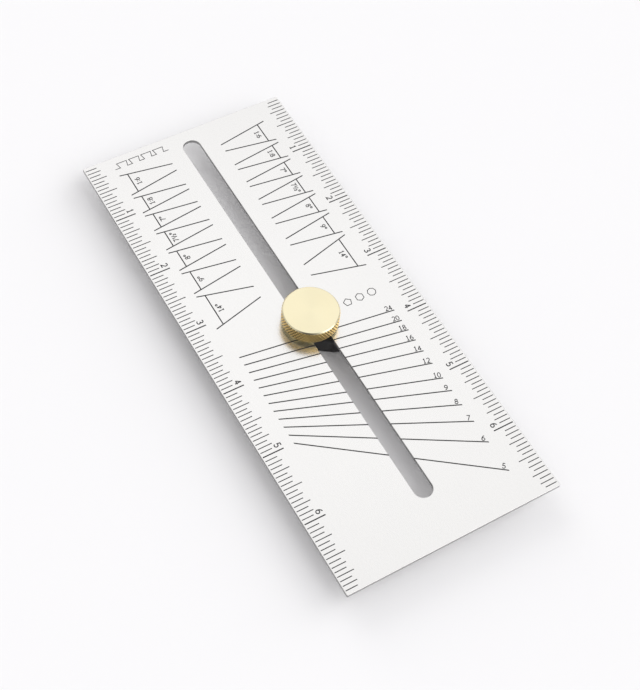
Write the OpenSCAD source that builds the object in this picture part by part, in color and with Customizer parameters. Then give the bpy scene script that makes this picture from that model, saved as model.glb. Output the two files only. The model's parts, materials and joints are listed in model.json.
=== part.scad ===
// Bevel setter: a slotted plate with inch rules and angle lines, and a fence bar
// clamped under it by a knurled knob. Millimetres, +Z up, +Y towards the rules' zero
// end, with the origin on the resting surface under the middle of the plate.

/* [Plate] */
// Width of the plate across the two rules
plate_w = 76.2; // [60:0.1:120]
// Length of the plate along the rules
plate_l = 177.8; // [160:0.1:240]
// Thickness of the plate
plate_t = 1.2; // [0.8:0.1:3]

/* [Slot] */
// Width of the slot
slot_w = 6.35; // [6:0.05:9]
// From the zero end to the centre of the slot's near end
slot_start = 7.94; // [6:0.1:20]
// From the far end of the plate to the centre of the slot's far end
slot_far = 19.05; // [8:0.05:40]

/* [Fence] */
// Length of the fence bar over its round ends
fence_l = 50.8; // [40:0.1:76]
// Width of the fence bar
fence_w = 12.7; // [11:0.1:16]
// Thickness of the fence bar
fence_t = 6.35; // [5:0.05:10]
// From the clamp's axis to the tip of the fence's short end
fence_nose = 14.29; // [9:0.01:20]
// Flat broken around the fence's top and bottom faces
fence_chamfer = 0.4; // [0.2:0.1:1]
// Angle of the fence at rest, from square across the plate
fence_angle = -35; // [-80:1:80]

/* [Clamp] */
// Distance of the clamp's axis from the zero end at rest
clamp_v = 90.2; // [40:0.1:120]
// Diameter of the clamp screw
screw_d = 4.8; // [3:0.1:5]
// Width of the screw's hexagon head across its flats
head_af = 7.94; // [6:0.02:9]
// Height of the screw's head
head_h = 3; // [2:0.1:4]
// Length of screw inside the knob
screw_grip = 3.4; // [2:0.1:4]
// Diameter of the washer
washer_d = 15; // [10:0.5:18]
// Thickness of the washer
washer_t = 0.5; // [0.3:0.1:1.5]

/* [Knob] */
// Diameter of the knurled band
knob_d = 19.05; // [18:0.05:30]
// Height of the knob
knob_h = 5.8; // [5.2:0.1:12]
// Diameter of the plain boss below the knurled band
boss_d = 15.6; // [12:0.1:16]
// Height of the plain boss
boss_h = 1; // [0.5:0.1:2]
// Flat broken around the knob's top
knob_chamfer = 0.55; // [0.2:0.05:1]
// Flat broken around the underside of the knurled band
band_chamfer = 0.25; // [0.1:0.05:0.5]

/* [Marks] */
// Thickness of the black fill that stands on the plate
mark_t = 0.03; // [0.02:0.01:0.1]
// Width of a fine tick
tick_w = 0.29; // [0.1:0.01:0.4]
// Width of an inch tick
inch_tick_w = 0.4; // [0.2:0.01:0.6]
// Gap between the ticks and the plate's edge
tick_inset = 0.4; // [0.2:0.1:2]
// Length of the shortest tick
tick_min = 4.05; // [2:0.05:6]
// Each longer kind of tick adds this much
tick_step = 0.79; // [0.3:0.01:1.2]
// Width of the angle lines
line_w = 0.38; // [0.15:0.01:0.5]
// Height of the rules' numbers
rule_text = 2.3; // [1.5:0.1:3.5]
// Height of the dovetail labels
dovetail_text = 1.85; // [1.2:0.05:2.2]
// Height of the side counts
polygon_text = 1.9; // [1.2:0.1:2.4]

/* [Dovetail lines] */
// From the plate's long edge to the outer ends of the dovetail lines
dovetail_margin = 9.9; // [9:0.1:16]
// From the slot's edge to the inner ends of the dovetail lines
dovetail_slot_gap = 6.325; // [4:0.025:10]
// From the outer ends of the dovetail lines in to the cross line of each outline
dovetail_cross_gap = 2.8; // [1:0.1:6]
// From the zero end to the first outline's outer corner
dovetail_start = 8.3; // [6:0.1:12]
// Gap between the outer corners of neighbouring outlines
dovetail_gap = 1.53; // [1:0.01:3]

/* [Polygon lines] */
// From the plate's long edge to the ends of the polygon lines
polygon_margin = 11.2; // [9:0.1:20]
// From the zero end to the first line's left end
polygon_start = 92.08; // [80:0.01:100]
// Spacing of the left ends along the plate
polygon_step = 3.175; // [2:0.005:3.5]

/* [Fits] */
// Running clearance around the clamp screw
run_clear = 0.05; // [0.02:0.01:0.1]
// Sliding clearance of the bush in the slot
slide_clear = 0.06; // [0.03:0.01:0.1]
// Clearance around the screw's head
head_clear = 0.12; // [0.05:0.01:0.3]
// Air left between faces that slide past each other
face_clear = 0.02; // [0.01:0.01:0.1]
// Bush stands this much lower than the plate's face
bush_drop = 0.1; // [0.05:0.05:0.3]

/* [Hidden] */
$fn = 96;
INCH = 25.4;
// Extra length of a cutting tool past the face that it leaves
cut = 1;
plate_z = fence_t;
face_z = plate_z + plate_t;
washer_z = face_z + mark_t + face_clear;
knob_z = washer_z + washer_t;
zero_y = plate_l / 2;
slot_start_y = zero_y - slot_start;
slot_far_y = slot_far - plate_l / 2;
clamp_y = zero_y - clamp_v;
head_pocket = head_h + head_clear;
screw_top = knob_z + screw_grip;
knob_bore_h = screw_grip + 2 * run_clear;

// The rules: sixteenths of an inch, with longer ticks at 1/8, 1/4, 1/2 and 1
TICKS_PER_INCH = 16;
tick_pitch = INCH / TICKS_PER_INCH;
tick_count = floor((plate_l - tick_pitch / 2) / tick_pitch);
inch_count = floor((plate_l - INCH / 2) / INCH);
INCH_KIND = 4;
inch_tick_l = tick_min + INCH_KIND * tick_step;
rule_edge = plate_w / 2 - tick_inset;
// Middle of a rule's number above its inch tick
numeral_rise = 1.75;

// Dovetail slopes: two ratios, then degrees, each with the label beside it
DEGREE = "degree";
HALF = "half";
dovetails = [
    [atan(1 / 6), ["1", ":", "6"]],
    [atan(1 / 8), ["1", ":", "8"]],
    [7, ["7", DEGREE]],
    [7.5, ["7", HALF, DEGREE]],
    [8, ["8", DEGREE]],
    [9, ["9", DEGREE]],
    [14, ["1", "4", DEGREE]]
];
dovetail_out = plate_w / 2 - dovetail_margin;
dovetail_in = slot_w / 2 + dovetail_slot_gap;
dovetail_cross = dovetail_out - dovetail_cross_gap;
// Space between a dovetail label and the cross line
label_gap = 1.05;

// Polygon sides, with each line at half the corner's turn
polygons = [24, 20, 18, 16, 14, 12, 10, 9, 8, 7, 6, 5];
polygon_reach = plate_w / 2 - polygon_margin;
// Space between a side count and its line
count_gap = 0.2;
// From a line's end back to the middle of its side count
count_inset = 1.6;

// Stroke widths of the numbers, as a share of their height
rule_weight = 0.15;
label_weight = 0.15;
count_weight = 0.14;

// Signs that stand in the place of headings
sign_w = 0.24;
sign_h = 2.2;
tail_count = 4;
tail_pitch = 4.6;
tail_neck = 1.9;
tail_flare = 0.5;
// From the zero end to the foot of the dovetail sign
tail_sign_drop = 5.2;
polygon_signs = [5, 6, 8];
polygon_sign_r = 1.6;
polygon_sign_pitch = 4.6;
polygon_sign_x = 14.8;
// Middle of the polygon signs above the first line's left end
polygon_sign_rise = 2.6;

// Strokes and numbers

// Sum of the first n entries of a list
function total(list, n) = n <= 0 ? 0 : list[n - 1] + total(list, n - 1);

// Points along an elliptical arc
function arc(x, y, rx, ry, from, to, steps = 8) =
    [for (i = [0 : steps]) let (a = from + (to - from) * i / steps) [x + rx * cos(a), y + ry * sin(a)]];

// Unit vector square to the run from a to b, on its left
function side(a, b) = let (d = b - a) [-d[1], d[0]] / norm(d);

// Left-hand offset of a path's point, mitred where the path turns
function offset_point(path, i, w) =
    let (
        before = i == 0 ? side(path[0], path[1]) : side(path[i - 1], path[i]),
        after = i == len(path) - 1 ? before : side(path[i], path[i + 1])
    )
    path[i] + w * (before + after) / (1 + before * after);

// Outline of a line of width w along a path
function band(path, w) = concat(
    [for (i = [0 : len(path) - 1]) offset_point(path, i, w / 2)],
    [for (i = [len(path) - 1 : -1 : 0]) offset_point(path, i, -w / 2)]
);

// Points of an outline made larger
function enlarge(points, size) = [for (p = points) size * p];

// Room that a sign takes along its line, as a share of its height
function advance(sign) = sign == ":" ? 0.36 : sign == DEGREE ? 0.52 : sign == HALF ? 1.14 : 0.68;

// Open strokes of each sign, on a height of 1
function strokes(sign) =
    sign == "1" ? [[[0.14, 0.78], [0.31, 0.92], [0.31, 0]], [[0.12, 0.05], [0.5, 0.05]]] :
    sign == "2" ? [concat(arc(0.31, 0.68, 0.23, 0.26, 160, -30), [[0.1, 0.06], [0.57, 0.06]])] :
    sign == "3" ? [arc(0.28, 0.72, 0.22, 0.22, 150, -95), arc(0.27, 0.27, 0.27, 0.23, 95, -155)] :
    sign == "4" ? [[[0.43, 0], [0.43, 0.94]], [[0.43, 0.9], [0.06, 0.3]], [[0.02, 0.28], [0.6, 0.28]]] :
    sign == "5" ? [
        concat([[0.53, 0.94], [0.17, 0.94], [0.13, 0.53]], arc(0.29, 0.31, 0.26, 0.27, 110, -150))
    ] :
    sign == "6" ? [arc(0.62, 0.29, 0.56, 0.65, 105, 180)] :
    sign == "7" ? [[[0.06, 0.93], [0.56, 0.93], [0.24, 0]]] :
    sign == "9" ? [arc(0, 0.68, 0.56, 0.65, -75, 0)] :
    sign == ":" ? [[[0.06, 0.18], [0.26, 0.18]], [[0.06, 0.62], [0.26, 0.62]]] :
    sign == HALF ? concat([[[0.36, 0], [0.72, 0.95]]], small("1", 0.06, 0.46), small("2", 0.78, 0)) :
    [];

// Strokes of a sign at half its size, moved to x, y
function small(sign, x, y) = [for (path = strokes(sign)) [for (p = path) p / 2 + [x, y]]];

// Corners around a ring, with its half width and half height grown by w
RING_STEPS = 24;
function ring_points(r, w) =
    arc(r[0], r[1], r[2] + w, r[3] + w, 0, 360 - 360 / RING_STEPS, RING_STEPS - 1);

// Closed rings of each sign: centre x, centre y, half width, half height
function rings(sign) =
    sign == "0" ? [[0.31, 0.48, 0.25, 0.44]] :
    sign == "6" ? [[0.31, 0.29, 0.25, 0.25]] :
    sign == "8" ? [[0.31, 0.72, 0.2, 0.21], [0.31, 0.27, 0.25, 0.23]] :
    sign == "9" ? [[0.31, 0.68, 0.25, 0.25]] :
    sign == DEGREE ? [[0.25, 0.8, 0.16, 0.16]] :
    [];

// One sign of a label, standing on the plate's face
module sign(name, size, weight) {
    for (path = strokes(name)) {
        linear_extrude(mark_t) polygon(enlarge(band(path, weight), size));
    }
    for (r = rings(name)) {
        difference() {
            linear_extrude(mark_t) polygon(enlarge(ring_points(r, weight / 2), size));
            translate([0, 0, -cut]) linear_extrude(mark_t + 2 * cut)
                polygon(enlarge(ring_points(r, -weight / 2), size));
        }
    }
}

// Place of the sign number i along a label, and the label's length
function label_start(signs, size, i) = size * total([for (s = signs) advance(s)], i);
function label_l(signs, size) = label_start(signs, size, len(signs));

// A label that starts at the origin and reads along +X
module label(signs, size, weight) {
    for (i = [0 : len(signs) - 1]) {
        translate([label_start(signs, size, i), 0, 0]) sign(signs[i], size, weight);
    }
}

// A straight line of the width w on the plate's face
module line(a, b, w) {
    linear_extrude(mark_t) polygon(band([a, b], w));
}

// A line whose ends are cut along the plate's length
module slanted_line(x0, x1, y0, slope, w) {
    half = w / cos(atan(slope)) / 2;
    linear_extrude(mark_t) polygon([
        [x0, y0 + slope * x0 - half], [x1, y0 + slope * x1 - half],
        [x1, y0 + slope * x1 + half], [x0, y0 + slope * x0 + half]
    ]);
}

// Everything etched stands on the plate's face
module on_face() {
    color("#2b2b2d") translate([0, 0, face_z]) children();
}

// Plate

module plate() {
    color("#d9dadb") difference() {
        translate([-plate_w / 2, -plate_l / 2, plate_z]) cube([plate_w, plate_l, plate_t]);
        translate([0, 0, plate_z - cut]) {
            translate([0, slot_start_y, 0]) cylinder(d = slot_w, h = plate_t + 2 * cut);
            translate([0, slot_far_y, 0]) cylinder(d = slot_w, h = plate_t + 2 * cut);
            translate([-slot_w / 2, slot_far_y, 0])
                cube([slot_w, slot_start_y - slot_far_y, plate_t + 2 * cut]);
        }
    }
}

// Rules

// Kind of the tick number i: 0 for a sixteenth, up to INCH_KIND for an inch
function tick_kind(i, kind = INCH_KIND) = i % pow(2, kind) == 0 ? kind : tick_kind(i, kind - 1);

// Ticks of one rule, on the right-hand edge
module rule_ticks() {
    for (i = [1 : tick_count]) {
        length = tick_min + tick_kind(i) * tick_step;
        width = tick_kind(i) == INCH_KIND ? inch_tick_w : tick_w;
        translate([rule_edge - length, zero_y - i * tick_pitch - width / 2, 0])
            cube([length, width, mark_t]);
    }
}

// Numbers of one rule, read from the right, with their feet at x
module rule_numerals(x) {
    for (i = [1 : inch_count]) {
        digit = [str(i)];
        translate([x, zero_y - i * INCH + numeral_rise + label_l(digit, rule_text) / 2, 0])
            rotate(-90) label(digit, rule_text, rule_weight);
    }
}

module rule_ticks_left() {
    on_face() mirror([1, 0, 0]) rule_ticks();
}

module rule_ticks_right() {
    on_face() rule_ticks();
}

module rule_numerals_left() {
    on_face() rule_numerals(-(rule_edge - inch_tick_l) - rule_text);
}

module rule_numerals_right() {
    on_face() rule_numerals(rule_edge - inch_tick_l);
}

// Dovetail outlines

// Half the height of each outline at its outer end
dovetail_half = [for (d = dovetails) dovetail_out * tan(d[0])];

// Middle of the outline number i along the plate
function dovetail_y(i) = zero_y - dovetail_start - 2 * total(dovetail_half, i)
    - i * dovetail_gap - dovetail_half[i];

// One column of outlines, on the right-hand side
module dovetail_lines() {
    for (i = [0 : len(dovetails) - 1]) {
        slope = tan(dovetails[i][0]);
        reach = dovetail_cross * slope;
        union() {
            slanted_line(dovetail_in, dovetail_out, dovetail_y(i), slope, line_w);
            slanted_line(dovetail_in, dovetail_out, dovetail_y(i), -slope, line_w);
            line([dovetail_cross, dovetail_y(i) - reach], [dovetail_cross, dovetail_y(i) + reach], line_w);
        }
    }
}

// One column of labels, read along the plate with their tops at the cross line
module dovetail_labels(turn) {
    feet = dovetail_cross - label_gap - dovetail_text;
    for (i = [0 : len(dovetails) - 1]) {
        signs = dovetails[i][1];
        translate([-turn * feet, dovetail_y(i) - turn * label_l(signs, dovetail_text) / 2, 0])
            rotate(turn * 90) label(signs, dovetail_text, label_weight);
    }
}

module dovetail_lines_left() {
    on_face() mirror([1, 0, 0]) dovetail_lines();
}

module dovetail_lines_right() {
    on_face() dovetail_lines();
}

module dovetail_labels_left() {
    on_face() dovetail_labels(1);
}

module dovetail_labels_right() {
    on_face() dovetail_labels(-1);
}

// A row of dovetails drawn with one line
module dovetail_symbol() {
    tails = [for (i = [0 : tail_count - 1]) let (x = i * tail_pitch) each [
        [x, 0], [x + tail_neck, 0],
        [x + tail_neck - tail_flare, sign_h], [x + tail_pitch + tail_flare, sign_h]
    ]];
    last = tail_count * tail_pitch;
    path = concat(tails, [[last, 0], [last + tail_neck, 0]]);
    on_face() translate([-dovetail_out, zero_y - tail_sign_drop, 0])
        linear_extrude(mark_t) polygon(band(path, sign_w));
}

// Polygon lines

// Height of the line number i at x, and its slope
function polygon_slope(i) = -tan(180 / polygons[i]);
function polygon_y(i) = zero_y - polygon_start - i * polygon_step + polygon_slope(i) * polygon_reach;

module polygon_lines() {
    on_face() for (i = [0 : len(polygons) - 1]) {
        slanted_line(-polygon_reach, -slot_w / 2, polygon_y(i), polygon_slope(i), line_w);
        slanted_line(slot_w / 2, polygon_reach, polygon_y(i), polygon_slope(i), line_w);
    }
}

// Side counts, that read along each line above its right-hand end
module polygon_numerals() {
    on_face() for (i = [0 : len(polygons) - 1]) {
        signs = [for (c = str(polygons[i])) c];
        back = count_inset + label_l(signs, polygon_text) / 2;
        translate([polygon_reach, polygon_y(i) + polygon_slope(i) * polygon_reach, 0])
            rotate(atan(polygon_slope(i))) translate([-back, line_w / 2 + count_gap, 0])
                label(signs, polygon_text, count_weight);
    }
}

// Regular polygons drawn with one line
module polygon_symbols() {
    on_face() for (i = [0 : len(polygon_signs) - 1]) {
        sides = polygon_signs[i];
        hole_r = polygon_sign_r - sign_w / cos(180 / sides);
        translate([polygon_sign_x + i * polygon_sign_pitch, zero_y - polygon_start + polygon_sign_rise, 0])
            rotate(90) difference() {
                cylinder(r = polygon_sign_r, h = mark_t, $fn = sides);
                translate([0, 0, -cut]) cylinder(r = hole_r, h = mark_t + 2 * cut, $fn = sides);
            }
    }
}

// Clamp and fence

// Places a piece on the clamp's axis
module on_clamp() {
    translate([0, clamp_y, 0]) children();
}

module pivot_bush() {
    color("#b9a45a") on_clamp() translate([0, 0, plate_z]) difference() {
        cylinder(d = slot_w - 2 * slide_clear, h = plate_t - bush_drop);
        translate([0, 0, -cut]) cylinder(d = screw_d + 2 * run_clear, h = plate_t + 2 * cut);
    }
}

// Upright section of the fence, from its middle out to the radius r, edges broken
function fence_section(r) = [
    [0, 0], [r - fence_chamfer, 0], [r, fence_chamfer],
    [r, fence_t - fence_chamfer], [r - fence_chamfer, fence_t], [0, fence_t]
];

// A bar with round ends, with its short end along +X
module fence_bar() {
    fence_r = fence_w / 2;
    near = fence_nose - fence_r;
    far = fence_nose - fence_l + fence_r;
    for (x = [near, far]) {
        translate([x, 0, 0]) rotate_extrude() polygon(fence_section(fence_r));
    }
    for (turn = [0, 1]) {
        mirror([0, turn, 0]) translate([far, 0, 0]) rotate([90, 0, 90])
            linear_extrude(near - far) polygon(fence_section(fence_r));
    }
}

module fence() {
    color("#1d1d1f") on_clamp() rotate(fence_angle) difference() {
        fence_bar();
        translate([0, 0, -cut]) cylinder(d = screw_d + 2 * run_clear, h = fence_t + 2 * cut);
        translate([0, 0, -cut])
            cylinder(d = (head_af + 2 * head_clear) / cos(30), h = head_pocket + cut, $fn = 6);
    }
}

module clamp_screw() {
    color("#8d8f92") on_clamp() rotate(fence_angle) {
        translate([0, 0, head_clear]) cylinder(d = head_af / cos(30), h = head_h, $fn = 6);
        translate([0, 0, head_clear]) cylinder(d = screw_d, h = screw_top - head_clear);
    }
}

module washer() {
    color("#c8c9ca") on_clamp() translate([0, 0, washer_z]) difference() {
        cylinder(d = washer_d, h = washer_t);
        translate([0, 0, -cut]) cylinder(d = screw_d + 2 * run_clear, h = washer_t + 2 * cut);
    }
}

module knob() {
    boss_r = boss_d / 2;
    knob_r = knob_d / 2;
    color("#d3ab52") on_clamp() translate([0, 0, knob_z]) difference() {
        rotate_extrude() polygon([
            [0, 0], [boss_r, 0], [boss_r, boss_h], [knob_r - band_chamfer, boss_h],
            [knob_r, boss_h + band_chamfer], [knob_r, knob_h - knob_chamfer],
            [knob_r - knob_chamfer, knob_h], [0, knob_h]
        ]);
        translate([0, 0, -cut]) cylinder(d = screw_d + 2 * run_clear, h = knob_bore_h + cut);
    }
}

plate();
rule_ticks_left();
rule_ticks_right();
rule_numerals_left();
rule_numerals_right();
dovetail_lines_left();
dovetail_lines_right();
dovetail_labels_left();
dovetail_labels_right();
dovetail_symbol();
polygon_lines();
polygon_numerals();
polygon_symbols();
pivot_bush();
fence();
clamp_screw();
washer();
knob();
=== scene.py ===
"""Looks of the bevel setter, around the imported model.

The plate, knob and screw get finer meshes, Geometry Nodes set out the rules' ticks and cut the knurl and the
thread, every piece gets its finish, and a pale studio floor with soft light stands around them.
"""

import json
import logging
import math
from collections.abc import Callable
from dataclasses import dataclass
from enum import Enum

import bmesh
import bpy
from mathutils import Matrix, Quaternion, Vector

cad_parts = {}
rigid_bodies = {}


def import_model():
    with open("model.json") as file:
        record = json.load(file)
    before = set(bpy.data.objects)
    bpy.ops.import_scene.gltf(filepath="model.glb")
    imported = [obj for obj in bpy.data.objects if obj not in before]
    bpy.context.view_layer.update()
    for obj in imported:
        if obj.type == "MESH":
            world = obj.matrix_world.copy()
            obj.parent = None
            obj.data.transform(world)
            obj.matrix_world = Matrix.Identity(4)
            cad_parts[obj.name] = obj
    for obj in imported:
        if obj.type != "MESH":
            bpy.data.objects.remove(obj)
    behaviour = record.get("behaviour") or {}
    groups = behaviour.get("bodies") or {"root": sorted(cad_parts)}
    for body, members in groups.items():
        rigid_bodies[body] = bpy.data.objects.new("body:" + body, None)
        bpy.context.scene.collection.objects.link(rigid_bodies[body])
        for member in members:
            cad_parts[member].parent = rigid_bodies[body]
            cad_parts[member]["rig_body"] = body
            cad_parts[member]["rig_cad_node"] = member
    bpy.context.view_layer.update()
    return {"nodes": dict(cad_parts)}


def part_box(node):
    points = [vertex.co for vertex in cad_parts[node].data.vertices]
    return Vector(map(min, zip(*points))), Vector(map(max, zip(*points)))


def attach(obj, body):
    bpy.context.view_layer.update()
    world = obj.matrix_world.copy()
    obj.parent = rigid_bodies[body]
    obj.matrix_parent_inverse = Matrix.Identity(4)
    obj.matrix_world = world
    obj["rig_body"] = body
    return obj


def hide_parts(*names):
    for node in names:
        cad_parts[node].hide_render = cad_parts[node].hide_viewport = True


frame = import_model()

MM = 0.001
LOG = logging.getLogger("bevel_setter")
FINE_DETAIL = 3.0
CLOUD_DETAIL = 2.0

Colour = tuple[float, float, float]
Point = tuple[float, float]
Place = tuple[float, float, float]
Ring = Callable[[float], Point]
Value = float | bpy.types.NodeSocket


class Grain(Enum):
    """How a surface was worked, which sets the run of its fine marks."""

    BRUSHED = "lines along the plate"
    TURNED = "rings about the clamp's axis"
    BLASTED = "even fine speckle"


class Graph:
    """A node tree in the making: adds nodes, sets their inputs and links them."""

    def __init__(self, tree: bpy.types.NodeTree) -> None:
        """Keeps the tree that the nodes go into."""
        self.tree = tree

    def feed(self, socket: bpy.types.NodeSocket, value: object) -> None:
        """Links an output to a socket, or sets the socket's own value."""
        if isinstance(value, bpy.types.NodeSocket):
            self.tree.links.new(value, socket)
        else:
            socket.default_value = value

    def node(self, kind: str, inputs: dict | None = None, **settings: object) -> bpy.types.Node:
        """Adds one node.

        Args:
            kind: Blender's name of the node type.
            inputs: Values, or outputs to link, by the input's name or number.
            settings: Properties of the node itself.

        Returns:
            The new node.
        """
        made = self.tree.nodes.new(kind)
        for name, value in settings.items():
            setattr(made, name, value)
        for key, value in (inputs or {}).items():
            self.feed(made.inputs[key], value)
        return made

    def math(self, operation: str, *values: Value) -> bpy.types.NodeSocket:
        """Output of a Math node that works on the values in order."""
        return self.node("ShaderNodeMath", dict(enumerate(values)), operation=operation).outputs[0]

    def split(self, vector: bpy.types.NodeSocket) -> list[bpy.types.NodeSocket]:
        """The x, y and z outputs of a vector."""
        return list(self.node("ShaderNodeSeparateXYZ", {0: vector}).outputs)

    def join(self, x: Value, y: Value, z: Value) -> bpy.types.NodeSocket:
        """A vector from its three parts."""
        return self.node("ShaderNodeCombineXYZ", {0: x, 1: y, 2: z}).outputs[0]

    def mix(self, share: Value, first: object, second: object) -> bpy.types.NodeSocket:
        """A colour between two colours."""
        made = self.node("ShaderNodeMix", data_type="RGBA")
        self.feed(made.inputs[0], share)
        for socket, value in zip(made.inputs[6:8], (first, second)):
            self.feed(socket, value if isinstance(value, bpy.types.NodeSocket) else (*value, 1.0))
        return made.outputs[2]


def new_group(name: str, kind: str, inputs: dict[str, str], outputs: dict[str, str]) -> Graph:
    """Makes an empty node group with named sockets.

    Args:
        name: Name of the group.
        kind: Blender's name of the tree type.
        inputs: Socket type of each input, by name.
        outputs: Socket type of each output, by name.

    Returns:
        The graph of the group, still without nodes.
    """
    tree = bpy.data.node_groups.new(name, kind)
    for side, sockets in (("INPUT", inputs), ("OUTPUT", outputs)):
        for socket, socket_type in sockets.items():
            tree.interface.new_socket(socket, in_out=side, socket_type=socket_type)
    return Graph(tree)


def surface_grain() -> bpy.types.NodeTree:
    """Shared effect of every finish: fine grain, slow clouding, and the bump of the grain.

    Returns:
        The shader node group, built at the first call.
    """
    name = "surface_grain"
    if name in bpy.data.node_groups:
        return bpy.data.node_groups[name]
    numbers = {"Cloud Scale": "NodeSocketFloat", "Depth": "NodeSocketFloat"}
    vectors = {"Grain Vector": "NodeSocketVector", "Place": "NodeSocketVector"}
    outputs = {"Grain": "NodeSocketFloat", "Cloud": "NodeSocketFloat", "Normal": "NodeSocketVector"}
    graph = new_group(name, "ShaderNodeTree", vectors | numbers, outputs)
    given = graph.node("NodeGroupInput").outputs
    fine = graph.node("ShaderNodeTexNoise", {"Vector": given["Grain Vector"], "Scale": 1.0, "Detail": FINE_DETAIL})
    slow = graph.node(
        "ShaderNodeTexNoise", {"Vector": given["Place"], "Scale": given["Cloud Scale"], "Detail": CLOUD_DETAIL}
    )
    bump = graph.node("ShaderNodeBump", {"Height": fine.outputs[0], "Distance": given["Depth"]})
    graph.node(
        "NodeGroupOutput", {"Grain": fine.outputs[0], "Cloud": slow.outputs[0], "Normal": bump.outputs[0]}
    )
    return graph.tree


@dataclass(frozen=True)
class Finish:
    """One surface finish, as a procedural material on Object coordinates.

    Attributes:
        name: Name of the material.
        slot: The record's material slot that it belongs to; not used.
        colour: Main colour.
        shade: Colour that the clouding mixes in.
        metallic: 1 for bare metal, 0 for a coating.
        roughness: Middle roughness.
        spread: How far the grain moves the roughness either way.
        grain: Run of the fine marks.
        pitch: Size of the fine marks across their run, in metres.
        depth: Depth of the fine marks, in metres.
        anisotropy: Stretch of the highlights, on turned faces.
        groove: Painted shade: a dark colour mixed into the bottom of cut grooves, where the piece has them, standing in
            for the shade that falls there.
    """

    name: str
    slot: str
    colour: Colour
    shade: Colour
    metallic: float
    roughness: float
    spread: float
    grain: Grain
    pitch: float
    depth: float
    anisotropy: float = 0.0
    # Painted shade: the colour that darkens the bottom of cut grooves.
    groove: Colour | None = None

    RUN = 60.0
    CLOUD_SCALE = 90.0
    # Depths at which the painted shade in the grooves starts and is full.
    GROOVE_SHADE_EDGES = (0.5, 0.7)
    GRAIN_EDGES = (0.3, 0.7)

    def grain_vector(self, graph: Graph, place: bpy.types.NodeSocket) -> bpy.types.NodeSocket:
        """Coordinates of the fine marks.

        Args:
            graph: Graph of the material.
            place: Object coordinates.

        Returns:
            A vector that grows by 1 over the size of one mark.
        """
        x, y, z = graph.split(place)
        if self.grain is Grain.TURNED:
            axis = clamp_axis()
            out = graph.math("SUBTRACT", y, axis.y)
            radius = graph.math("SQRT", graph.math("ADD", graph.math("POWER", x, 2.0), graph.math("POWER", out, 2.0)))
            return graph.join(graph.math("DIVIDE", radius, self.pitch), 0.0, graph.math("DIVIDE", z, self.pitch))
        run = self.RUN if self.grain is Grain.BRUSHED else 1.0
        sizes = (self.pitch, self.pitch * run, self.pitch)
        return graph.join(*(graph.math("DIVIDE", part, size) for part, size in zip((x, y, z), sizes)))

    def spread_tangent(self, graph: Graph, place: bpy.types.NodeSocket) -> bpy.types.NodeSocket:
        """Direction across the turning marks in the world, in which they spread the light.

        Args:
            graph: Graph of the material.
            place: Object coordinates.

        Returns:
            A vector away from the clamp's axis.
        """
        x, y, _ = graph.split(place)
        away = graph.join(x, graph.math("SUBTRACT", y, clamp_axis().y), 0.0)
        turn = graph.node(
            "ShaderNodeVectorTransform", {0: away}, vector_type="VECTOR", convert_from="OBJECT", convert_to="WORLD"
        )
        return turn.outputs[0]

    def material(self) -> bpy.types.Material:
        """The finish's material, built at the first call."""
        if self.name in bpy.data.materials:
            return bpy.data.materials[self.name]
        made = bpy.data.materials.new(self.name)
        made.use_nodes = True
        graph = Graph(made.node_tree)
        shader = made.node_tree.nodes["Principled BSDF"]
        place = graph.node("ShaderNodeTexCoord").outputs["Object"]
        grain = graph.node("ShaderNodeGroup", node_tree=surface_grain())
        graph.feed(grain.inputs["Grain Vector"], self.grain_vector(graph, place))
        graph.feed(grain.inputs["Place"], place)
        grain.inputs["Cloud Scale"].default_value = self.CLOUD_SCALE
        grain.inputs["Depth"].default_value = self.depth
        colour = graph.mix(grain.outputs["Cloud"], self.colour, self.shade)
        # Painted shade: the bottom of cut grooves is darkened towards the painted-shade colour, by the stored depth
        # mask.
        if self.groove is not None:
            cut = graph.node("ShaderNodeAttribute", attribute_name=HelicalCut.ATTRIBUTE).outputs["Fac"]
            start, full = self.GROOVE_SHADE_EDGES
            painted_groove_shade = graph.node(
                "ShaderNodeMapRange",
                {"Value": cut, "From Min": start, "From Max": full},
                interpolation_type="SMOOTHSTEP",
            )
            colour = graph.mix(painted_groove_shade.outputs[0], colour, self.groove)
        finest, coarsest = self.GRAIN_EDGES
        rough = graph.node(
            "ShaderNodeMapRange",
            {
                "Value": grain.outputs["Grain"],
                "From Min": finest,
                "From Max": coarsest,
                "To Min": self.roughness - self.spread,
                "To Max": self.roughness + self.spread,
            },
        )
        graph.feed(shader.inputs["Base Color"], colour)
        graph.feed(shader.inputs["Roughness"], rough.outputs[0])
        graph.feed(shader.inputs["Normal"], grain.outputs["Normal"])
        shader.inputs["Metallic"].default_value = self.metallic
        if self.anisotropy:
            shader.inputs["Anisotropic"].default_value = self.anisotropy
            graph.feed(shader.inputs["Tangent"], self.spread_tangent(graph, place))
        return made

    def dress(self, piece: bpy.types.Object) -> None:
        """Gives the piece this finish alone."""
        piece.data.materials.clear()
        piece.data.materials.append(self.material())


PLATE_STEEL = Finish(
    "satin_plate_steel", "plate_steel", (0.995, 0.985, 0.975), (0.98, 0.97, 0.96), 1.0, 0.25, 0.04,
    Grain.BRUSHED, 0.09 * MM, 0.0008 * MM,
)
CUT_STEEL = Finish(
    "cut_plate_steel", "plate_steel", (0.44, 0.435, 0.435), (0.36, 0.355, 0.355), 1.0, 0.45, 0.06,
    Grain.BLASTED, 0.08 * MM, 0.0015 * MM,
)
ETCH_FILL = Finish(
    "etch_fill_black", "etch_black", (0.018, 0.018, 0.02), (0.035, 0.035, 0.037), 0.0, 0.55, 0.1,
    Grain.BLASTED, 0.05 * MM, 0.002 * MM,
)
FENCE_BLACK = Finish(
    "anodised_black", "fence_black", (0.012, 0.012, 0.013), (0.022, 0.022, 0.023), 0.0, 0.42, 0.06,
    Grain.BLASTED, 0.12 * MM, 0.003 * MM,
)
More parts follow.
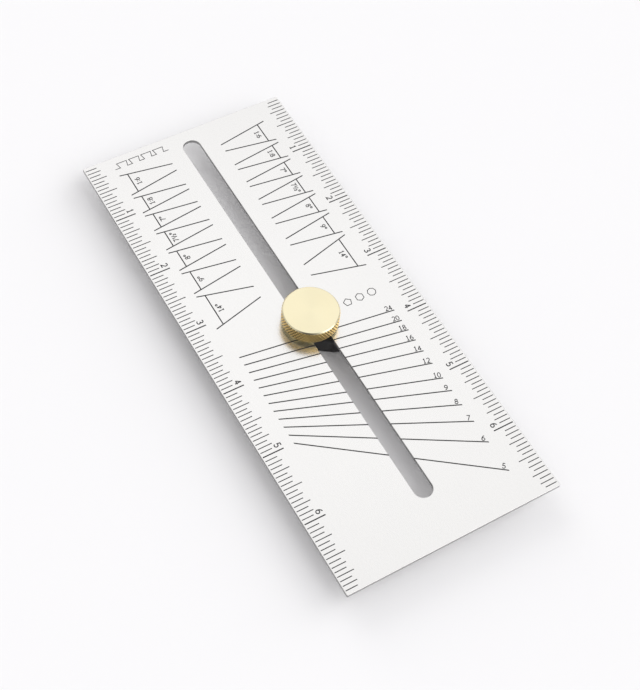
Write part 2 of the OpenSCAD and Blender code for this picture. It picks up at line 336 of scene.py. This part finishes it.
SCREW_STEEL = Finish(
    "screw_steel_plain", "screw_steel", (0.52, 0.53, 0.54), (0.44, 0.45, 0.46), 1.0, 0.34, 0.07,
    Grain.TURNED, 0.07 * MM, 0.001 * MM,
)
TURNED_BRASS = Finish(
    "turned_brass", "knob_brass", (1.0, 0.92, 0.65), (1.0, 0.9, 0.61), 1.0, 0.18, 0.04,
    Grain.TURNED, 0.08 * MM, 0.0004 * MM, anisotropy=0.85,
)
# The knurl's last colour is painted shade, mixed into the bottom of its grooves by depth.
KNURLED_BRASS = Finish(
    "knurled_brass", "knob_brass", (1.0, 0.73, 0.29), (0.98, 0.69, 0.25), 1.0, 0.3, 0.05,
    Grain.BLASTED, 0.1 * MM, 0.001 * MM, groove=(0.04, 0.02, 0.004),
)


def direction(elevation: float, azimuth: float) -> Vector:
    """Unit vector at an elevation above the floor and an azimuth from +X towards +Y, in degrees."""
    up, turn = math.radians(elevation), math.radians(azimuth)
    return Vector((math.cos(up) * math.cos(turn), math.cos(up) * math.sin(turn), math.sin(up)))


def clamp_axis() -> Vector:
    """Place of the clamp's upright axis at rest, at the knob's middle height."""
    low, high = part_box("knob")
    return (low + high) / 2


def mesh_object(name: str, mesh: bpy.types.Mesh) -> bpy.types.Object:
    """A new object at the origin that shows the mesh."""
    made = bpy.data.objects.new(name, mesh)
    bpy.context.scene.collection.objects.link(made)
    return made


def settle(piece: bpy.types.Object) -> None:
    """Turns a piece with a Geometry Nodes modifier into a plain mesh and takes the modifier off."""
    ready = piece.evaluated_get(bpy.context.evaluated_depsgraph_get())
    mesh = bpy.data.meshes.new_from_object(ready)
    piece.modifiers.clear()
    piece.data = mesh
    mesh.name = piece.name


def shade_by_angle(mesh: bpy.types.Mesh, degrees: float) -> None:
    """Smooths the mesh's shading apart from its edges that turn by more than an angle."""
    mesh.shade_smooth()
    mesh.set_sharp_from_angle(angle=math.radians(degrees))


def attach_tree(piece: bpy.types.Object, tree: bpy.types.NodeTree, values: dict[str, object]) -> None:
    """Puts a Geometry Nodes tree on a piece.

    Args:
        piece: The object that gets the modifier.
        tree: The Geometry Nodes tree.
        values: Values of the tree's named inputs.
    """
    modifier = piece.modifiers.new(tree.name, "NODES")
    modifier.node_group = tree
    for socket in tree.interface.items_tree:
        if socket.in_out == "INPUT" and socket.name in values:
            modifier[socket.identifier] = values[socket.name]


def rounded_outline(low: Point, high: Point, radius: float, steps: int) -> list[Point]:
    """Corners of an upright box outline with round corners, anticlockwise.

    Args:
        low: Lowest x and y.
        high: Highest x and y.
        radius: Radius of the corners.
        steps: Runs in each corner.

    Returns:
        The outline's points.
    """
    centres = [
        (high[0] - radius, high[1] - radius),
        (low[0] + radius, high[1] - radius),
        (low[0] + radius, low[1] + radius),
        (high[0] - radius, low[1] + radius),
    ]
    points = []
    for corner, (x, y) in enumerate(centres):
        for step in range(steps + 1):
            angle = math.pi / 2 * (corner + step / steps)
            points.append((x + radius * math.cos(angle), y + radius * math.sin(angle)))
    return points


def plain_ring(radius: float, z: float) -> Ring:
    """A round ring of a lathe's profile."""
    return lambda angle: (radius, z)


def lathe(name: str, rings: list[Ring], poles: Point, columns: int, axis: Vector) -> bpy.types.Mesh:
    """A closed mesh of rings about an upright axis, with a pole at each end.

    Args:
        name: Name of the mesh.
        rings: Radius and height of each ring as a function of the angle, from the first pole to the last.
        poles: Heights of the first and the last pole.
        columns: Points around each ring.
        axis: Where the axis stands.

    Returns:
        The mesh, with its faces outwards.
    """
    angles = [2 * math.pi * i / columns for i in range(columns)]
    form = bmesh.new()
    first, last = (form.verts.new((axis.x, axis.y, z)) for z in poles)
    loops = []
    for ring in rings:
        loop = []
        for angle in angles:
            radius, z = ring(angle)
            loop.append(form.verts.new((axis.x + radius * math.cos(angle), axis.y + radius * math.sin(angle), z)))
        loops.append(loop)
    for i in range(columns):
        j = (i + 1) % columns
        form.faces.new((first, loops[0][i], loops[0][j]))
        form.faces.new((last, loops[-1][i], loops[-1][j]))
        for lower, upper in zip(loops, loops[1:]):
            form.faces.new((lower[i], lower[j], upper[j], upper[i]))
    bmesh.ops.recalc_face_normals(form, faces=form.faces)
    mesh = bpy.data.meshes.new(name)
    form.to_mesh(mesh)
    form.free()
    return mesh


class HelicalCut:
    """Geometry Nodes tree that cuts helical grooves into what stands outside a root radius, and stores a mask for
    painted shade in their bottoms.
    """

    # Name of the stored mask for painted shade in the grooves: 1 at their bottom, 0 on the crests.
    ATTRIBUTE = "groove"
    NAME = "helical_cut"
    CUT_SHARE = 0.6

    @classmethod
    def tree(cls) -> bpy.types.NodeTree:
        """The tree, built at the first call: one set of grooves for a thread, two crossed for a knurl."""
        if cls.NAME in bpy.data.node_groups:
            return bpy.data.node_groups[cls.NAME]
        number = "NodeSocketFloat"
        inputs = {"Geometry": "NodeSocketGeometry", "Axis": "NodeSocketVector", "Starts": "NodeSocketInt"}
        sizes = ("Lead", "Root Radius", "Depth", "Sharpness", "Crossed", "Bottom", "Top")
        materials = {"Cut Material": "NodeSocketMaterial", "Plain Material": "NodeSocketMaterial"}
        sockets = inputs | {size: number for size in sizes} | materials
        graph = new_group(cls.NAME, "GeometryNodeTree", sockets, {"Geometry": "NodeSocketGeometry"})
        given = graph.node("NodeGroupInput").outputs
        place = graph.node("GeometryNodeInputPosition").outputs[0]
        from_axis = graph.node("ShaderNodeVectorMath", {0: place, 1: given["Axis"]}, operation="SUBTRACT")
        x, y, _ = graph.split(from_axis.outputs[0])
        z = graph.split(place)[2]
        radius = graph.math("SQRT", graph.math("ADD", graph.math("MULTIPLY", x, x), graph.math("MULTIPLY", y, y)))
        around = graph.math("MULTIPLY", graph.math("DIVIDE", graph.math("ARCTAN2", y, x), math.tau), given["Starts"])
        rise = graph.math("DIVIDE", graph.math("SUBTRACT", z, given["Bottom"]), given["Lead"])
        right = cls.wave(graph, graph.math("SUBTRACT", around, rise))
        left = cls.wave(graph, graph.math("ADD", around, rise))
        left = graph.math("MAXIMUM", left, graph.math("SUBTRACT", 1.0, given["Crossed"]))
        height = graph.math("MULTIPLY", graph.math("MINIMUM", left, right), given["Sharpness"])
        height = graph.math("MINIMUM", height, 1.0)
        limit = graph.math("MULTIPLY_ADD", height, given["Depth"], given["Root Radius"])
        outside = graph.math("GREATER_THAN", radius, given["Root Radius"])
        inside_run = graph.math(
            "MULTIPLY", graph.math("GREATER_THAN", z, given["Bottom"]), graph.math("LESS_THAN", z, given["Top"])
        )
        cut = graph.math("MULTIPLY", outside, inside_run)
        share = graph.math("DIVIDE", graph.math("MINIMUM", radius, limit), radius)
        centre_x, centre_y, _ = graph.split(given["Axis"])
        moved = graph.join(
            graph.math("MULTIPLY_ADD", x, share, centre_x), graph.math("MULTIPLY_ADD", y, share, centre_y), z
        )
        shaped = graph.node(
            "GeometryNodeSetPosition",
            {"Geometry": given["Geometry"], "Selection": cut, "Position": moved},
        )
        # Painted shade mask, strongest at the bottom of the grooves.
        dark = graph.math("MULTIPLY", cut, graph.math("SUBTRACT", 1.0, height))
        kept = graph.node("GeometryNodeCaptureAttribute")
        kept.capture_items.new("FLOAT", "Dark")
        kept.capture_items.new("FLOAT", "Cut")
        graph.feed(kept.inputs["Geometry"], given["Geometry"])
        graph.feed(kept.inputs["Dark"], dark)
        graph.feed(kept.inputs["Cut"], cut)
        graph.feed(shaped.inputs["Geometry"], kept.outputs["Geometry"])
        stored = graph.node(
            "GeometryNodeStoreNamedAttribute",
            {"Geometry": shaped.outputs[0], "Name": cls.ATTRIBUTE, "Value": kept.outputs["Dark"]},
            data_type="FLOAT",
            domain="POINT",
        )
        whole = graph.node("GeometryNodeRealizeInstances", {"Geometry": stored.outputs[0]})
        plain = graph.node(
            "GeometryNodeSetMaterial", {"Geometry": whole.outputs[0], "Material": given["Plain Material"]}
        )
        done = graph.node(
            "GeometryNodeSetMaterial",
            {
                "Geometry": plain.outputs[0],
                "Selection": graph.math("GREATER_THAN", kept.outputs["Cut"], cls.CUT_SHARE),
                "Material": given["Cut Material"],
            },
        )
        graph.node("NodeGroupOutput", {"Geometry": done.outputs[0]})
        return graph.tree

    @staticmethod
    def wave(graph: Graph, turns: bpy.types.NodeSocket) -> bpy.types.NodeSocket:
        """A wave that climbs straight from 0 at the bottom of the grooves to 1 midway between two of them."""
        return graph.math("MULTIPLY", graph.math("PINGPONG", turns, 0.5), 2.0)


class TickRow:
    """Geometry Nodes tree that sets out the ticks of one rule."""

    NAME = "tick_row"
    KINDS = 4

    @classmethod
    def tree(cls) -> bpy.types.NodeTree:
        """The tree, built at the first call: one bar at each sixteenth, longer at the rounder fractions."""
        if cls.NAME in bpy.data.node_groups:
            return bpy.data.node_groups[cls.NAME]
        sizes = ("Pitch", "Shortest", "Step", "Fine Width", "Inch Width", "Thickness", "Edge", "Side", "Zero", "Face")
        sockets = {"Geometry": "NodeSocketGeometry", "Count": "NodeSocketInt", "Material": "NodeSocketMaterial"}
        sockets |= {size: "NodeSocketFloat" for size in sizes}
        graph = new_group(cls.NAME, "GeometryNodeTree", sockets, {"Geometry": "NodeSocketGeometry"})
        given = graph.node("NodeGroupInput").outputs
        number = graph.math("ADD", graph.node("GeometryNodeInputIndex").outputs[0], 1.0)
        kind: Value = 0.0
        for power in range(1, cls.KINDS + 1):
            left_over = graph.math("MODULO", number, float(2**power))
            kind = graph.math("ADD", kind, graph.math("LESS_THAN", left_over, 0.5))
        inch = graph.math("GREATER_THAN", kind, cls.KINDS - 0.5)
        length = graph.math("MULTIPLY_ADD", kind, given["Step"], given["Shortest"])
        extra = graph.math("SUBTRACT", given["Inch Width"], given["Fine Width"])
        width = graph.math("MULTIPLY_ADD", inch, extra, given["Fine Width"])
        middle = graph.math("SUBTRACT", given["Edge"], graph.math("MULTIPLY", length, 0.5))
        place = graph.join(
            graph.math("MULTIPLY", middle, given["Side"]),
            graph.math("SUBTRACT", given["Zero"], graph.math("MULTIPLY", number, given["Pitch"])),
            graph.math("MULTIPLY_ADD", given["Thickness"], 0.5, given["Face"]),
        )
        row = graph.node("GeometryNodeMeshLine", {"Count": given["Count"]})
        points = graph.node("GeometryNodeSetPosition", {"Geometry": row.outputs[0], "Position": place})
        bar = graph.node("GeometryNodeMeshCube", {"Size": (1.0, 1.0, 1.0)})
        bars = graph.node(
            "GeometryNodeInstanceOnPoints",
            {
                "Points": points.outputs[0],
                "Instance": bar.outputs[0],
                "Scale": graph.join(length, width, given["Thickness"]),
            },
        )
        whole = graph.node("GeometryNodeRealizeInstances", {"Geometry": bars.outputs[0]})
        done = graph.node("GeometryNodeSetMaterial", {"Geometry": whole.outputs[0], "Material": given["Material"]})
        graph.node("NodeGroupOutput", {"Geometry": done.outputs[0]})
        return graph.tree


@dataclass
class Plate:
    """The slotted plate with the marks etched in its face."""

    slot_width: float = 6.35 * MM
    slot_near: float = 7.94 * MM
    slot_far: float = 19.05 * MM
    edge_break: float = 0.12 * MM
    corner: float = 0.35 * MM
    round_steps: int = 3
    corner_steps: int = 24
    edge_slope: float = 0.8
    flat_slope: float = 0.999
    smooth_angle: float = 40.0
    weld: float = 1e-7
    level: float = 1e-8

    def build(self) -> bpy.types.Object:
        """Builds the plate with its edges just broken.

        Returns:
            The plate's object, riding on its body.
        """
        low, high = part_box("plate")
        half = self.slot_width / 2
        slot_low = (-half, low.y + self.slot_far - half)
        slot_high = (half, high.y - self.slot_near + half)
        form = bmesh.new()
        rims, slots = [], []
        for inset, z in self.levels(low.z, high.z):
            rim = rounded_outline(
                (low.x + inset, low.y + inset), (high.x - inset, high.y - inset), self.corner - inset, self.corner_steps
            )
            hole = rounded_outline(
                (slot_low[0] - inset, slot_low[1] - inset),
                (slot_high[0] + inset, slot_high[1] + inset),
                half + inset,
                self.corner_steps,
            )
            rims.append([form.verts.new((x, y, z)) for x, y in rim])
            slots.append([form.verts.new((x, y, z)) for x, y in hole])
        for loops in (rims, slots):
            for lower, upper in zip(loops, loops[1:]):
                for i in range(len(lower)):
                    j = (i + 1) % len(lower)
                    form.faces.new((lower[i], lower[j], upper[j], upper[i]))
        bmesh.ops.remove_doubles(form, verts=form.verts, dist=self.weld)
        for z in (low.z, high.z):
            edges = [e for e in form.edges if all(abs(v.co.z - z) < self.level for v in e.verts)]
            bmesh.ops.triangle_fill(form, use_beauty=True, edges=edges)
        bmesh.ops.recalc_face_normals(form, faces=form.faces)
        mesh = bpy.data.meshes.new("slotted_plate")
        form.to_mesh(mesh)
        form.free()
        shade_by_angle(mesh, self.smooth_angle)
        for face in mesh.polygons:
            face.use_smooth = abs(face.normal.z) < self.flat_slope
        piece = mesh_object("slotted_plate", mesh)
        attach(piece, "plate")
        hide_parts("plate")
        return piece

    def levels(self, bottom: float, top: float) -> list[Point]:
        """Inset and height of each outline, up one rounded edge and down the other.

        Args:
            bottom: Height of the lower face.
            top: Height of the upper face.

        Returns:
            Pairs of inset and height.
        """
        turns = [math.pi / 2 * step / self.round_steps for step in range(self.round_steps + 1)]
        rise = [(self.edge_break * (1 - math.sin(a)), self.edge_break * (1 - math.cos(a))) for a in turns]
        return [(i, bottom + z) for i, z in rise] + [(i, top - z) for i, z in reversed(rise)]

    def dress(self, piece: bpy.types.Object) -> None:
        """Gives the plate its satin faces and cut edges, and every mark that stays a CAD node its black fill."""
        PLATE_STEEL.dress(piece)
        piece.data.materials.append(CUT_STEEL.material())
        for face in piece.data.polygons:
            face.material_index = int(abs(face.normal.z) < self.edge_slope)
        for name, node in frame["nodes"].items():
            if node.get("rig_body") == "plate" and name != "plate":
                ETCH_FILL.dress(node)
                LOG.info("%s: %s", name, ETCH_FILL.name)


@dataclass
class Rules:
    """The inch rules along the plate's two long edges."""

    pitch: float = 25.4 * MM / 16
    shortest: float = 4.05 * MM
    step: float = 0.79 * MM
    fine_width: float = 0.29 * MM
    inch_width: float = 0.4 * MM
    count: int = 111

    def build(self, name: str, node: str, side: float) -> bpy.types.Object:
        """Builds one rule's ticks.

        Args:
            name: Name of the new piece.
            node: The CAD node that it stands for.
            side: 1 for the right-hand edge, -1 for the left-hand one.

        Returns:
            The ticks as one object, riding on the plate.
        """
        low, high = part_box(node)
        piece = mesh_object(name, bpy.data.meshes.new(name))
        values = {
            "Count": self.count,
            "Pitch": self.pitch,
            "Shortest": self.shortest,
            "Step": self.step,
            "Fine Width": self.fine_width,
            "Inch Width": self.inch_width,
            "Thickness": high.z - low.z,
            "Edge": max(abs(low.x), abs(high.x)),
            "Side": side,
            "Zero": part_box("plate")[1].y,
            "Face": low.z,
            "Material": ETCH_FILL.material(),
        }
        attach_tree(piece, TickRow.tree(), values)
        settle(piece)
        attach(piece, "plate")
        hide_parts(node)
        return piece


@dataclass
class Knob:
    """The round brass clamp knob with a diamond knurl."""

    boss_radius: float = 7.8 * MM
    boss_height: float = 1.0 * MM
    chamfer: float = 0.55 * MM
    under_chamfer: float = 0.25 * MM
    bore_radius: float = 2.45 * MM
    bore_height: float = 3.5 * MM
    diamonds: int = 57
    diamond_height: float = 1.67 * MM
    depth: float = 0.24 * MM
    sharpness: float = 1.6
    columns_per_diamond: int = 8
    rows_per_diamond: int = 8
    under_rows: int = 2
    under_chamfer_rows: int = 3
    chamfer_rows: int = 6
    smooth_angle: float = 12.0
    edge_break: float = 0.12 * MM

    def build(self) -> bpy.types.Object:
        """Builds the knob and cuts its knurl.

        Returns:
            The knob's object, riding on its body.
        """
        low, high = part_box("knob")
        radius = (high.x - low.x) / 2
        axis = clamp_axis()
        bore_top = low.z + self.bore_height
        mesh = lathe(
            "knurled_knob",
            self.rings(radius, low.z, high.z),
            (bore_top, high.z),
            self.diamonds * self.columns_per_diamond,
            axis,
        )
        piece = mesh_object("knurled_knob", mesh)
        values = {
            "Axis": axis,
            "Starts": self.diamonds,
            "Lead": self.diamond_height,
            "Root Radius": radius - self.depth,
            "Depth": self.depth,
            "Sharpness": self.sharpness,
            "Crossed": 1.0,
            "Bottom": low.z + self.boss_height - self.edge_break,
            "Top": high.z - self.edge_break,
            "Cut Material": KNURLED_BRASS.material(),
            "Plain Material": TURNED_BRASS.material(),
        }
        attach_tree(piece, HelicalCut.tree(), values)
        settle(piece)
        shade_by_angle(piece.data, self.smooth_angle)
        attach(piece, "knob")
        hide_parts("knob")
        return piece

    def rings(self, radius: float, bottom: float, top: float) -> list[Ring]:
        """Profile of the knob from its bore, up its boss, out to the knurled band and over its top.

        Args:
            radius: Radius over the knurl.
            bottom: Height of the lower face.
            top: Height of the upper face.

        Returns:
            The rings, without the poles.
        """
        rim = radius - self.chamfer
        under = bottom + self.boss_height
        band_low, band_high = under + self.under_chamfer, top - self.chamfer
        corners = [
            (self.bore_radius, bottom + self.bore_height, 1),
            (self.bore_radius, bottom, 1),
            (self.boss_radius - self.edge_break, bottom, 1),
            (self.boss_radius, bottom + self.edge_break, 1),
            (self.boss_radius, under, 1),
            (radius - self.under_chamfer, under, self.under_rows),
            (radius, band_low, self.under_chamfer_rows),
            (radius, band_high, self.band_rows(band_high - band_low)),
            (rim, top, self.chamfer_rows),
            (rim - self.edge_break, top, 1),
        ]
        rings = [plain_ring(*corners[0][:2])]
        for (r0, z0, _), (r1, z1, steps) in zip(corners, corners[1:]):
            for step in range(1, steps + 1):
                share = step / steps
                rings.append(plain_ring(r0 + (r1 - r0) * share, z0 + (z1 - z0) * share))
        return rings

    def band_rows(self, height: float) -> int:
        """Rows of faces in the knurled band, with whole rows to each diamond where they fit."""
        return round(height / self.diamond_height * self.rows_per_diamond)


@dataclass
class ClampScrew:
    """The hexagon-headed screw that holds the fence and carries the knob, with its washer and bush."""

    across_flats: float = 7.94 * MM
    head_height: float = 3.0 * MM
    shank_radius: float = 2.4 * MM
    thread_pitch: float = 25.4 * MM / 32
    thread_depth: float = 0.42 * MM
    thread_sharpness: float = 1.15
    smooth_angle: float = 28.0
    rows_per_turn: int = 8
    columns: int = 72
    head_turn: float = math.radians(-35)
    face_share: float = 0.94
    chamfer_slope: float = math.tan(math.radians(30))
    tip: float = 0.4 * MM

    def build(self) -> bpy.types.Object:
        """Builds the screw and cuts its thread.

        Returns:
            The screw's object, riding on the fence.
        """
        low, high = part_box("clamp_screw")
        axis = clamp_axis()
        head_top = low.z + self.head_height
        rows = round((high.z - self.tip - head_top) / self.thread_pitch * self.rows_per_turn)
        face = self.across_flats / 2 * self.face_share
        rings: list[Ring] = [
            plain_ring(face, low.z),
            lambda angle: (self.hexagon(angle), low.z + (self.hexagon(angle) - face) * self.chamfer_slope),
            lambda angle: (self.hexagon(angle), head_top),
        ]
        for row in range(rows + 1):
            z = head_top + (high.z - self.tip - head_top) * row / rows
            rings.append(plain_ring(self.shank_radius, z))
        rings.append(plain_ring(self.shank_radius - self.thread_depth, high.z))
        mesh = lathe("threaded_screw", rings, (low.z, high.z), self.columns, axis)
        piece = mesh_object("threaded_screw", mesh)
        values = {
            "Axis": axis,
            "Starts": 1,
            "Lead": self.thread_pitch,
            "Root Radius": self.shank_radius - self.thread_depth,
            "Depth": self.thread_depth,
            "Sharpness": self.thread_sharpness,
            "Crossed": 0.0,
            "Bottom": head_top + self.thread_pitch,
            "Top": high.z,
            "Cut Material": SCREW_STEEL.material(),
            "Plain Material": SCREW_STEEL.material(),
        }
        attach_tree(piece, HelicalCut.tree(), values)
        settle(piece)
        shade_by_angle(piece.data, self.smooth_angle)
        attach(piece, "fence")
        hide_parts("clamp_screw")
        return piece

    def hexagon(self, angle: float) -> float:
        """Radius of the head's outline at an angle."""
        sixth = math.pi / 3
        from_flat = (angle - self.head_turn) % sixth - sixth / 2
        return self.across_flats / 2 / math.cos(from_flat)

    def dress_small_parts(self) -> None:
        """Gives the washer and the bush, which stay CAD nodes, their finishes."""
        for name, finish in (("washer", SCREW_STEEL), ("pivot_bush", TURNED_BRASS)):
            finish.dress(frame["nodes"][name])
            LOG.info("%s: %s", name, finish.name)


@dataclass
class Fence:
    """The black bar under the plate, which stays a CAD node."""

    node: str = "fence"

    def dress(self) -> None:
        """Gives the bar its black finish."""
        FENCE_BLACK.dress(frame["nodes"][self.node])
        LOG.info("%s: %s", self.node, FENCE_BLACK.name)


@dataclass(frozen=True)
class Lamp:
    """One broad soft lamp, as a sun with a wide disc.

    Attributes:
        name: Name of the lamp.
        power: Strength of the sun.
        elevation: Height above the floor, in degrees.
        azimuth: Turn from +X towards +Y, in degrees.
        spread: Width of the disc, in degrees.
        glossy: Whether bright metal mirrors the lamp.
    """

    name: str
    power: float
    elevation: float
    azimuth: float
    spread: float
    glossy: bool = False

    def build(self) -> None:
        """Hangs the lamp, in or out of sight of the bright metal."""
        light = bpy.data.lights.new(self.name, "SUN")
        light.energy = self.power
        light.angle = math.radians(self.spread)
        lamp = bpy.data.objects.new(self.name, light)
        bpy.context.scene.collection.objects.link(lamp)
        lamp.rotation_mode = "QUATERNION"
        lamp.rotation_quaternion = direction(self.elevation, self.azimuth).to_track_quat("Z", "Y")
        lamp.visible_glossy = self.glossy


@dataclass
class Studio:
    """The pale floor, the soft light around it, and the camera of the photograph."""

    floor_half: float = 3.0
    floor_colour: Colour = (0.885, 0.885, 0.89)
    room_colour: Colour = (1.0, 0.985, 1.0)
    room_light: float = 0.66
    lamps: tuple[Lamp, ...] = (
        Lamp("front_softbox", 1.03, 45.0, -45.0, 60.0, glossy=True),
        Lamp("right_softbox", 0.78, 25.0, 0.0, 40.0),
        Lamp("back_softbox", 0.79, 25.0, 90.0, 40.0),
    )
    sheen_elevation: float = 58.0
    sheen_azimuth: float = 64.0
    sheen_turn: float = -30.0
    sheen_size: Point = (1.1, 0.5)
    sheen_dark: float = 0.55
    shade_elevation: float = 50.0
    shade_azimuth: float = -127.0
    shade_edges: Point = (15.0, 38.0)
    shade_level: float = 0.05
    eye: Place = (-149.95 * MM, -208.33 * MM, 383.88 * MM)
    target: Place = (-1.71 * MM, -10.84 * MM, 7.55 * MM)
    roll: float = 7.945
    sensor: float = 36.0
    lens: float = 73.28
    near_clip: float = 0.01

    def build(self) -> None:
        """Builds the stage in order: floor, world, lamps and camera."""
        self.build_floor()
        self.build_world()
        for lamp in self.lamps:
            lamp.build()
        self.build_camera()
        bpy.context.scene.view_settings.view_transform = "Standard"

    def build_floor(self) -> None:
        """A wide matt floor at the height that the fence rests on."""
        half = self.floor_half
        mesh = bpy.data.meshes.new("studio_floor")
        mesh.from_pydata([(-half, -half, 0), (half, -half, 0), (half, half, 0), (-half, half, 0)], [], [(0, 1, 2, 3)])
        floor = mesh_object("studio_floor", mesh)
        paper = bpy.data.materials.new("studio_paper")
        paper.use_nodes = True
        shader = paper.node_tree.nodes["Principled BSDF"]
        shader.inputs["Base Color"].default_value = (*self.floor_colour, 1.0)
        shader.inputs["Roughness"].default_value = 1.0
        shader.inputs["Specular IOR Level"].default_value = 0.0
        mesh.materials.append(paper)

    def build_world(self) -> None:
        """A dim even room: white to the camera, and to metal white towards the lamp and dark behind the camera."""
        world = bpy.data.worlds.new("studio_room")
        world.use_nodes = True
        bpy.context.scene.world = world
        graph = Graph(world.node_tree)
        world.node_tree.nodes.clear()
        path = graph.node("ShaderNodeLightPath").outputs
        way = graph.node("ShaderNodeTexCoord").outputs["Generated"]
        off = graph.node(
            "ShaderNodeVectorMath",
            {0: way, 1: direction(self.sheen_elevation, self.sheen_azimuth)},
            operation="SUBTRACT",
        ).outputs[0]
        fall: Value = 1.0
        for turn, size in zip((0.0, 90.0), self.sheen_size):
            across = direction(0.0, self.sheen_turn + turn) / size
            reach = graph.node("ShaderNodeVectorMath", {0: off, 1: across}, operation="DOT_PRODUCT").outputs["Value"]
            fall = graph.math("SUBTRACT", fall, graph.math("POWER", reach, 2.0))
        glow = graph.math("POWER", graph.math("MAXIMUM", fall, 0.0), 2.0)
        sheen = graph.math("MULTIPLY_ADD", glow, 1.0 - self.sheen_dark, self.sheen_dark)
        behind = graph.node(
            "ShaderNodeVectorMath",
            {0: way, 1: direction(self.shade_elevation, self.shade_azimuth)},
            operation="DOT_PRODUCT",
        ).outputs["Value"]
        inner, outer = (math.cos(math.radians(edge)) for edge in self.shade_edges)
        shade = graph.node(
            "ShaderNodeMapRange",
            {"Value": behind, "From Min": outer, "From Max": inner, "To Min": 1.0, "To Max": self.shade_level},
            interpolation_type="SMOOTHSTEP",
        ).outputs["Result"]
        shown = graph.mix(path["Is Glossy Ray"], (1.0, 1.0, 1.0), graph.math("MULTIPLY", sheen, shade))
        seen = graph.math("MAXIMUM", path["Is Camera Ray"], path["Is Glossy Ray"])
        room = graph.node("ShaderNodeBackground", {"Color": (*self.room_colour, 1.0), "Strength": self.room_light})
        white = graph.node("ShaderNodeBackground", {"Color": shown, "Strength": 1.0})
        both = graph.node("ShaderNodeMixShader", {0: seen, 1: room.outputs[0], 2: white.outputs[0]})
        graph.node("ShaderNodeOutputWorld", {"Surface": both.outputs[0]})

    def build_camera(self) -> None:
        """The camera at the photograph's place, with its tilt."""
        data = bpy.data.cameras.new("photo_camera")
        data.sensor_fit = "AUTO"
        data.sensor_width = self.sensor
        data.lens = self.lens
        data.clip_start = self.near_clip
        camera = bpy.data.objects.new("photo_camera", data)
        bpy.context.scene.collection.objects.link(camera)
        look = Vector(self.target) - Vector(self.eye)
        tilt = Quaternion((0.0, 0.0, 1.0), math.radians(self.roll))
        camera.location = self.eye
        camera.rotation_mode = "QUATERNION"
        camera.rotation_quaternion = look.to_track_quat("-Z", "Y") @ tilt
        bpy.context.scene.camera = camera


def main() -> None:
    """Builds the stage and every piece in order, and reports each one."""
    logging.basicConfig(level=logging.INFO, format="%(name)s: %(message)s")
    Studio().build()
    plate = Plate()
    body = plate.build()
    plate.dress(body)
    rules = Rules()
    made = [
        body,
        rules.build("left_rule_ticks", "rule_ticks_left", -1.0),
        rules.build("right_rule_ticks", "rule_ticks_right", 1.0),
        Knob().build(),
    ]
    screw = ClampScrew()
    made.append(screw.build())
    screw.dress_small_parts()
    Fence().dress()
    for piece in made:
        LOG.info("%s: %d faces", piece.name, len(piece.data.polygons))


if __name__ == "__main__":
    main()
